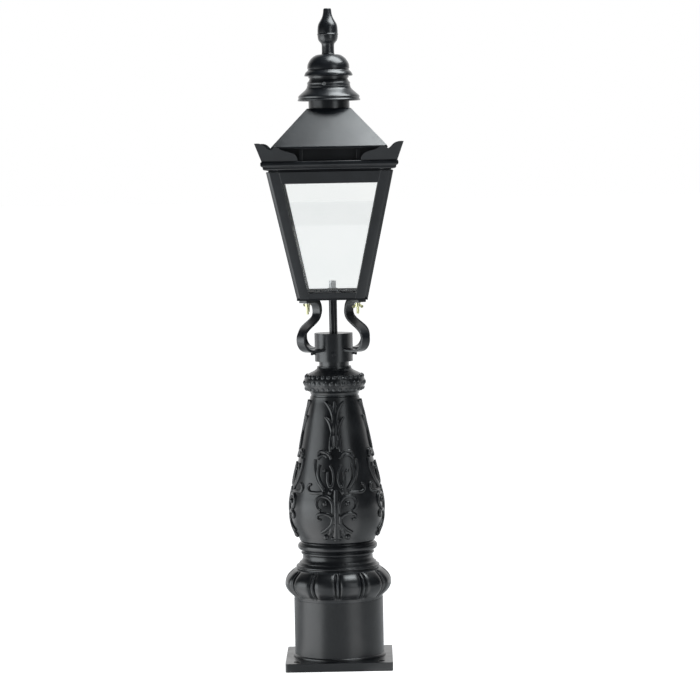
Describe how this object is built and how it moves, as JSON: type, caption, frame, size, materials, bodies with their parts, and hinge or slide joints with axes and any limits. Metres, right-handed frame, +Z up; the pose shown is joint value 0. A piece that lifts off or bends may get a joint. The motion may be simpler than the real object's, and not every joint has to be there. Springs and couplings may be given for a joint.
{
  "type": "post top lantern",
  "caption": "Four-sided glazed post top lantern with a vented hinged roof and finial, on a four-armed bracket and a short ornate cast post with a square foot plate.",
  "frame": {"origin": "centre of the base plate's underside, on the ground", "axes": "+Z up along the post; the front side looks along -Y"},
  "size_m": [0.321, 0.321, 1.4453],
  "materials": {
    "cast_iron": "black paint, semi-gloss, on cast iron",
    "painted_steel": "black paint, semi-gloss, on sheet and bar steel",
    "clear_glass": "clear, polished",
    "zinc_steel": "bright zinc plate",
    "brass": "pale, satin"
  },
  "bodies": {
    "lantern_and_post": {"base_plate": "cast_iron", "bead_collar": "cast_iron", "conduit_cap_nut": "painted_steel", "conduit_tube": "painted_steel", "corner_leaf_back_left": "painted_steel", "corner_leaf_back_right": "painted_steel", "corner_leaf_front_left": "painted_steel", "corner_leaf_front_right": "painted_steel", "cornice": "painted_steel", "floor_lock_nut": "painted_steel", "frog_arm_back_left": "painted_steel", "frog_arm_back_right": "painted_steel", "frog_arm_front_left": "painted_steel", "frog_arm_front_right": "painted_steel", "frog_socket": "painted_steel", "gadroon_ring": "cast_iron", "head_rail_back": "painted_steel", "head_rail_front": "painted_steel", "head_rail_left": "painted_steel", "head_rail_right": "painted_steel", "hinge_fixed_leaf": "painted_steel", "hinge_pin": "zinc_steel", "lamp_nipple": "zinc_steel", "lantern_floor": "painted_steel", "lantern_studs": "zinc_steel", "pane_back": "clear_glass", "pane_beads": "painted_steel", "pane_front": "clear_glass", "pane_left": "clear_glass", "pane_right": "clear_glass", "plinth_tube": "cast_iron", "post_casting": "cast_iron", "roof_rests": "painted_steel", "sill_rail_back": "painted_steel", "sill_rail_front": "painted_steel", "sill_rail_left": "painted_steel", "sill_rail_right": "painted_steel", "socket_set_screws": "zinc_steel", "spigot_tube": "painted_steel", "stile_back_left": "painted_steel", "stile_back_right": "painted_steel", "stile_front_left": "painted_steel", "stile_front_right": "painted_steel", "stud_washers": "zinc_steel"},
    "roof": {"vent_frieze": "painted_steel", "roof_shell": "painted_steel", "chimney_neck": "painted_steel", "lower_cap": "painted_steel", "crown_band": "painted_steel", "cap_screws": "zinc_steel", "upper_cap": "painted_steel", "finial": "painted_steel", "hinge_roof_leaf": "painted_steel"},
    "wing_nut_front_right": {"wing_nut_front_right": "brass"},
    "wing_nut_back_right": {"wing_nut_back_right": "brass"},
    "wing_nut_back_left": {"wing_nut_back_left": "brass"},
    "wing_nut_front_left": {"wing_nut_front_left": "brass"}
  },
  "joints": [
    {"name": "roof_hinge", "type": "hinge", "parent": "lantern_and_post", "child": "roof", "pos_m": [0, 0.1315, 1.1408], "axis": [-1, 0, 0], "range_deg": [0, 100]},
    {"name": "wing_nut_spin_front_right", "type": "hinge", "parent": "lantern_and_post", "child": "wing_nut_front_right", "pos_m": [0.055, -0.055, 0.797], "axis": [0, 0, 1], "continuous": true},
    {"name": "wing_nut_spin_back_right", "type": "hinge", "parent": "lantern_and_post", "child": "wing_nut_back_right", "pos_m": [0.055, 0.055, 0.797], "axis": [0, 0, 1], "continuous": true},
    {"name": "wing_nut_spin_back_left", "type": "hinge", "parent": "lantern_and_post", "child": "wing_nut_back_left", "pos_m": [-0.055, 0.055, 0.797], "axis": [0, 0, 1], "continuous": true},
    {"name": "wing_nut_spin_front_left", "type": "hinge", "parent": "lantern_and_post", "child": "wing_nut_front_left", "pos_m": [-0.055, -0.055, 0.797], "axis": [0, 0, 1], "continuous": true}
  ]
}
